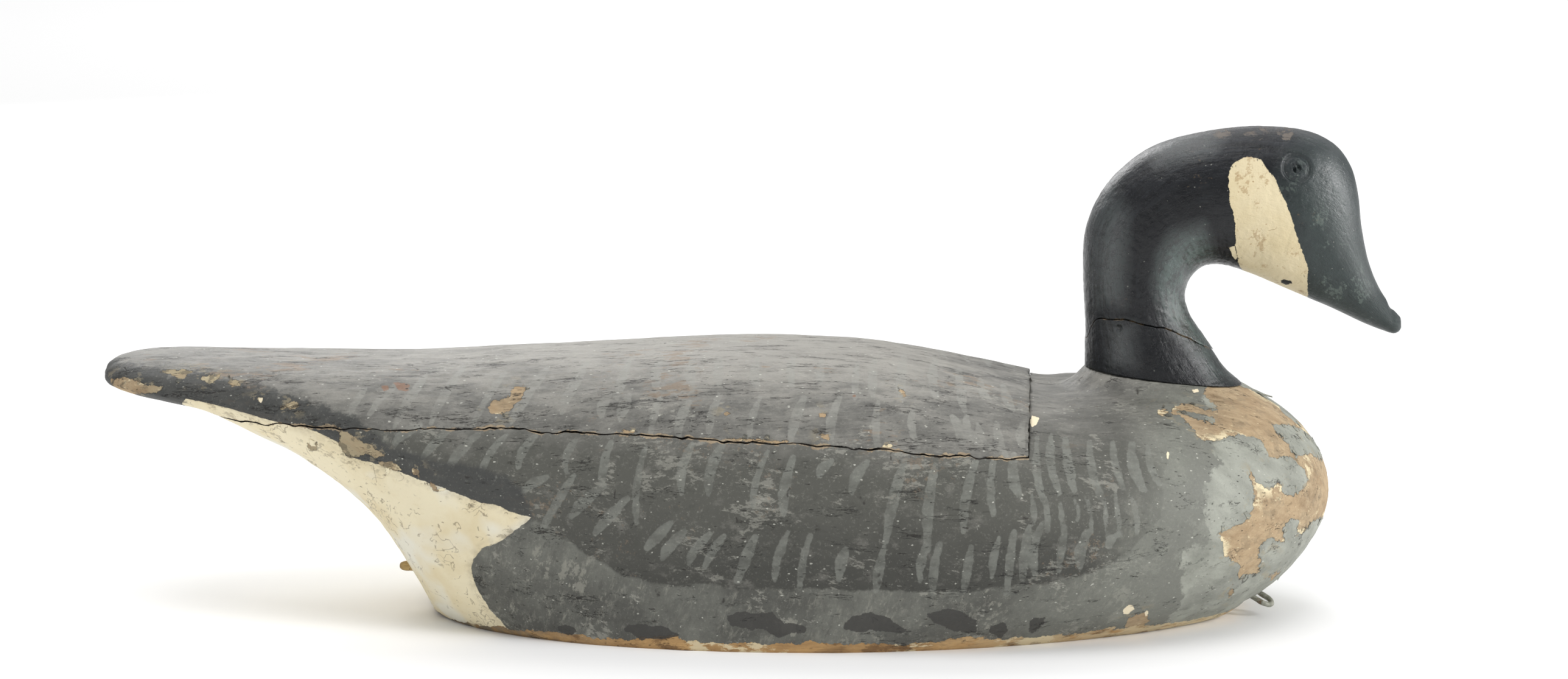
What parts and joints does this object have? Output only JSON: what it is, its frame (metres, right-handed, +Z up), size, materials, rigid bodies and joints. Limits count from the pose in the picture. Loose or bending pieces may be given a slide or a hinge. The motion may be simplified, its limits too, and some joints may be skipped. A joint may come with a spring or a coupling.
{
  "type": "goose decoy",
  "caption": "Carved and painted wooden goose decoy with a low head, a two-part body, an anchor-line staple and a flat underside.",
  "frame": {"origin": "centre of the flat underside", "axes": "+X along the body towards the bill, +Y to the bird's left, +Z up from the flat underside"},
  "size_m": [0.7811, 0.2745, 0.2923],
  "materials": {
    "painted_body": "dry matte grey-brown, near-black and cream oil paint on carved wood, flaked to bare grey-tan wood in places",
    "painted_back": "dry matte grey-brown paint with lighter feather strokes, black at the tail, worn to bare wood at the tip",
    "painted_neck_base": "satin black paint on smoothed wood",
    "painted_head": "satin black paint on rasped wood, with a cream cheek patch and small chips",
    "bare_peg": "bare weathered wood",
    "staple_wire": "dull brass wire with grey paint left on it"
  },
  "bodies": {
    "root": {"body_block": "painted_body", "back_board": "painted_back", "neck_base": "painted_neck_base", "head_and_neck": "painted_head", "rump_peg": "bare_peg", "anchor_staple": "staple_wire"}
  },
  "joints": []
}
